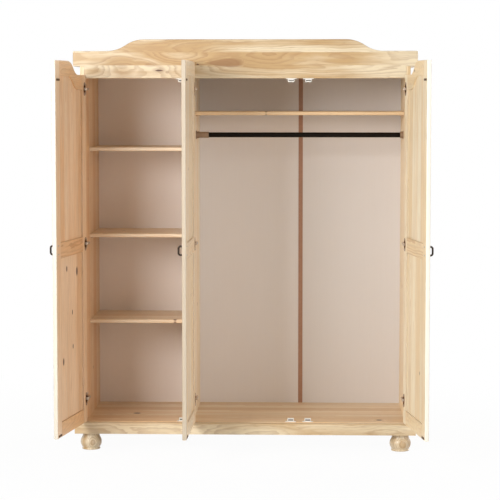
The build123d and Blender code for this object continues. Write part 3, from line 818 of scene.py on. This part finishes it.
# %% Copy fasteners into place
def fasten(master, name, body, finish, seats, flat=Matrix()):
    """Copies of one fastener, each at a point with its axis along a direction, joined into one piece."""
    bpy.ops.object.select_all(action="DESELECT")
    for point, axis in seats:
        turn = axis.to_track_quat("Z", "Y").to_matrix().to_4x4()
        copy = master.copy()
        copy.data = master.data.copy()
        copy.data.transform(flat.inverted() @ Matrix.Translation(point) @ turn)
        bpy.context.collection.objects.link(copy)
        copy.select_set(True)
        bpy.context.view_layer.objects.active = copy
    bpy.ops.object.join()
    piece = bpy.context.object
    piece.name = name
    bpy.ops.object.shade_smooth_by_angle(angle=smooth_angle)
    piece.data.materials.clear()
    piece.data.materials.append(finish.block)
    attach(piece, body)
    print(name, len(seats), "fasteners")


# %% [markdown]
# ## Screwing down the carcass fittings
# A hinge plate has two wood screws, one above and one below its arm, and the arm itself carries two
# machine screws that adjust the door. A magnet catch has one screw in each ear.

# %% Screws of the carcass
plate_skin = 0.0025
plate_screw_spread = 0.0172
arm_screw_spread = 0.009
ear_skin = 0.0025
ear_screw_spread = 0.0185
upper_half = 1.0

plate_seats = []
arm_seats = []
plates = sorted(fittings("hinge_plates"), key=lambda box: (round(box[0].x, 2), box[0].z))
arms = sorted(fittings("hinge_arms"), key=lambda box: (round(box[0].x, 2), box[0].z))
for (low, high), (arm_low, arm_high) in zip(plates, arms):
    middle = (low + high) / 2
    hand = -1 if middle.x > 0 else 1
    axis = Vector((hand, 0, 0))
    wall = low.x if hand > 0 else high.x
    strap = arm_high.x if hand > 0 else arm_low.x
    for side in (-1, 1):
        seat = Vector((wall + hand * plate_skin, middle.y, middle.z + side * plate_screw_spread))
        plate_seats.append((seat, axis))
        arm_seats.append((Vector((strap, middle.y + side * arm_screw_spread, middle.z)), axis))
fasten(screw, "hinge_plate_screws", "carcass", screw_zinc, plate_seats)
fasten(small_screw, "hinge_arm_screws", "carcass", screw_zinc, arm_seats)

ear_seats = []
for low, high in fittings("magnet_catches"):
    middle = (low + high) / 2
    up = -1 if middle.z > upper_half else 1
    ear = low.z + ear_skin if up > 0 else high.z - ear_skin
    for side in (-1, 1):
        ear_seats.append((Vector((middle.x + side * ear_screw_spread, middle.y, ear)), Vector((0, 0, up))))
fasten(small_screw, "catch_screws", "carcass", screw_zinc, ear_seats)

# %% Nails of the back
nail_pitch = 0.130
nail_edge = 0.006
nail_end = 0.040
nail_foot = 0.009
nail_rows = (
    ("back_panel_left", ("low", "high")),
    ("back_panel_middle", ("low",)),
    ("back_panel_right", ("high",)),
)
nail_seats = []
for node, edges in nail_rows:
    low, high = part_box(node)
    count = round((high.z - low.z - 2 * nail_end) / nail_pitch)
    for edge in edges:
        x = low.x + nail_edge if edge == "low" else high.x - nail_edge
        for step in range(count + 1):
            z = low.z + nail_end + step * (high.z - low.z - 2 * nail_end) / count
            nail_seats.append((Vector((x, high.y, z)), Vector((0, 1, 0))))
    across = round((high.x - low.x) / nail_pitch)
    for step in range(1, across):
        x = low.x + step * (high.x - low.x) / across
        nail_seats.append((Vector((x, high.y, low.z + nail_foot)), Vector((0, 1, 0))))
fasten(nail, "back_nails", "carcass", screw_zinc, nail_seats)

# %% [markdown]
# ## Screwing down the door fittings
# Each cup flange has a screw above and below the cup, each strike plate one at either end, and the
# handle is held by two screws that come through the stile from inside.

# %% Screws of the doors
flange_screw_spread = 0.0225
strike_screw_spread = 0.0175
handle_foot = 0.014
inward = Vector((0, 1, 0))
for door, flat in doors.items():
    cup_seats = []
    for low, high in fittings(f"{door}_hinge_cups", flat):
        middle = (low + high) / 2
        for side in (-1, 1):
            cup_seats.append((Vector((middle.x, high.y, middle.z + side * flange_screw_spread)), inward))
    strike_seats = []
    for low, high in fittings(f"{door}_strike_plates", flat):
        middle = (low + high) / 2
        for side in (-1, 1):
            strike_seats.append((Vector((middle.x + side * strike_screw_spread, high.y, middle.z)), inward))
    (low, high), = fittings(f"{door}_handle", flat)
    (_, stile_high), = fittings(f"{door}_free_stile", flat)
    middle = (low + high) / 2
    pitch = high.z - low.z - handle_foot
    handle_seats = []
    for side in (-1, 1):
        handle_seats.append((Vector((middle.x, stile_high.y, middle.z + side * pitch / 2)), inward))
    fasten(small_screw, f"{door}_cup_screws", door, screw_zinc, cup_seats, flat)
    fasten(small_screw, f"{door}_strike_screws", door, strike_steel, strike_seats, flat)
    fasten(screw, f"{door}_handle_screws", door, screw_zinc, handle_seats, flat)
for master in (screw, small_screw, nail):
    bpy.data.objects.remove(master)
print("everything is screwed down")
